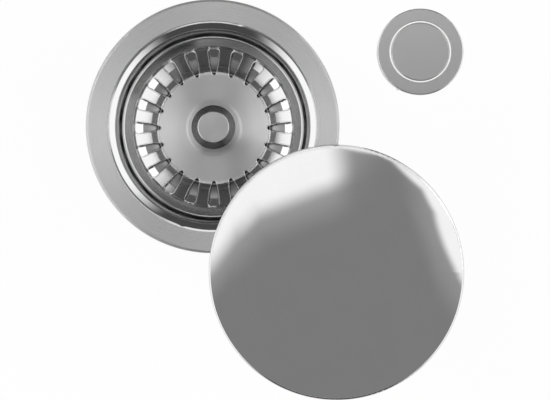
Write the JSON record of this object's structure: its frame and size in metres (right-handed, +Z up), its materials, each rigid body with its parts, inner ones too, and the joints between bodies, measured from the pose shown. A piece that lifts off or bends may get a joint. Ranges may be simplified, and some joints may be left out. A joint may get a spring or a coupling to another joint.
{
  "type": "pop-up sink waste",
  "caption": "Strainer sink waste with a pop-up basket, a loose polished cover cap and a push-button control that lifts the basket through a lever",
  "frame": {"origin": "on the waste's axis at the sink's surface, the underside of the flange gasket", "axes": "+Z up out of the sink; +X to the side on which the cap and the button lie"},
  "size_m": [0.1697, 0.1797, 0.1084],
  "materials": {
    "brushed_steel": "pressed stainless sheet, satin faces with polished bends",
    "polished_steel": "polished stainless sheet",
    "satin_steel": "turned stainless, fine satin",
    "turned_steel": "turned stainless bar and wire",
    "rubber": "moulded black rubber",
    "fibre_washer": "pressed fibre",
    "black_plastic": "moulded polypropylene, fine grain",
    "white_plastic": "moulded white acetal",
    "grey_plastic": "moulded acetal"
  },
  "bodies": {
    "waste": {"strainer_cup": "brushed_steel", "flange_gasket": "rubber", "clamp_gasket": "rubber", "drain_body": "black_plastic", "centre_screw": "turned_steel", "screw_washer": "fibre_washer", "lever_axle": "turned_steel", "axle_clip": "turned_steel", "axle_seals": "rubber", "chamber_lid": "black_plastic", "chamber_gasket": "rubber", "lid_screws": "turned_steel", "waste_gland_nut": "grey_plastic", "cover_cap": "polished_steel", "cover_carrier": "black_plastic", "cover_feet": "rubber", "button_bezel": "satin_steel", "button_guide": "white_plastic", "bezel_gasket": "rubber", "button_housing": "black_plastic", "clamp_washer": "grey_plastic", "clamp_nut": "grey_plastic", "return_spring": "turned_steel", "latch_wire": "turned_steel", "housing_end_cap": "black_plastic", "button_gland_nut": "grey_plastic"},
    "lifter": {"basket": "brushed_steel", "basket_knob": "turned_steel", "basket_seal": "rubber", "seal_retainer": "turned_steel", "stud_nut": "turned_steel", "lift_pin": "turned_steel"},
    "lever": {"rocker_lever": "grey_plastic"},
    "push": {"button_cap": "satin_steel", "plunger": "grey_plastic"}
  },
  "joints": [
    {"name": "basket_lift", "type": "slide", "parent": "waste", "child": "lifter", "axis": [0, 0, 1], "range_m": [0, 0.008]},
    {"name": "lever_turn", "type": "hinge", "parent": "waste", "child": "lever", "pos_m": [-0.03074, 0, -0.0643], "axis": [0, -1, 0], "range_deg": [0, 14.88]},
    {"name": "button_press", "type": "slide", "parent": "waste", "child": "push", "axis": [0, 0, -1], "range_m": [0, 0.00466], "stiffness_N_per_m": 200, "springref_m": -0.01, "deforming": ["return_spring"]}
  ],
  "couplings": [
    {"joint": "lever_turn", "follows": "basket_lift", "rad_per_m": 32.348},
    {"joint": "button_press", "follows": "basket_lift", "ratio": 0.58065}
  ]
}
